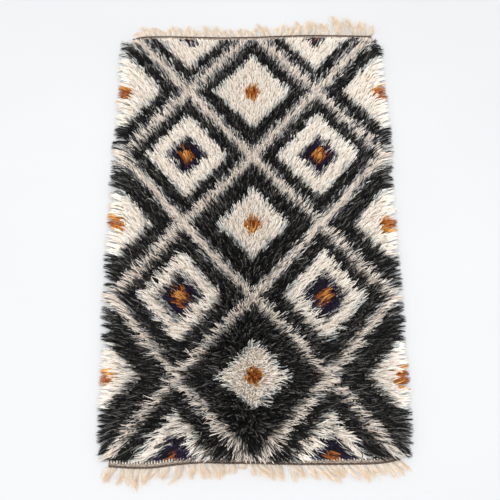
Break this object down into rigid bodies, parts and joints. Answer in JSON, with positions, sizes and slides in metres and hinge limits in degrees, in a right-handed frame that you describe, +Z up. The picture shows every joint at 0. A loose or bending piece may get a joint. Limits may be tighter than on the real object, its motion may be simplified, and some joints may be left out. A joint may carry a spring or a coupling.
{
  "type": "rya rug",
  "caption": "Hand-knotted long-pile wool rug lying flat, with a woven ground, a twined cord along each end and a warp fringe beyond it.",
  "frame": {"origin": "under the middle of the rug, on the floor that it lies on", "axes": "+Z up from the floor, +Y along the rug's length to its head end, +X across it"},
  "size_m": [0.9402, 1.565, 0.0373],
  "materials": {
    "ground_wool": "matt woven grey-beige wool",
    "pile_wool": "soft matt long wool pile in black, greys, cream and rust",
    "brown_yarn": "matt dark brown twined wool yarn",
    "warp_yarn": "matt ivory warp yarn, untwisted at its ends"
  },
  "bodies": {
    "root": {"ground_weave": "ground_wool", "pile": "pile_wool", "twining_head": "brown_yarn", "twining_foot": "brown_yarn", "fringe_head": "warp_yarn", "fringe_foot": "warp_yarn"}
  },
  "joints": []
}
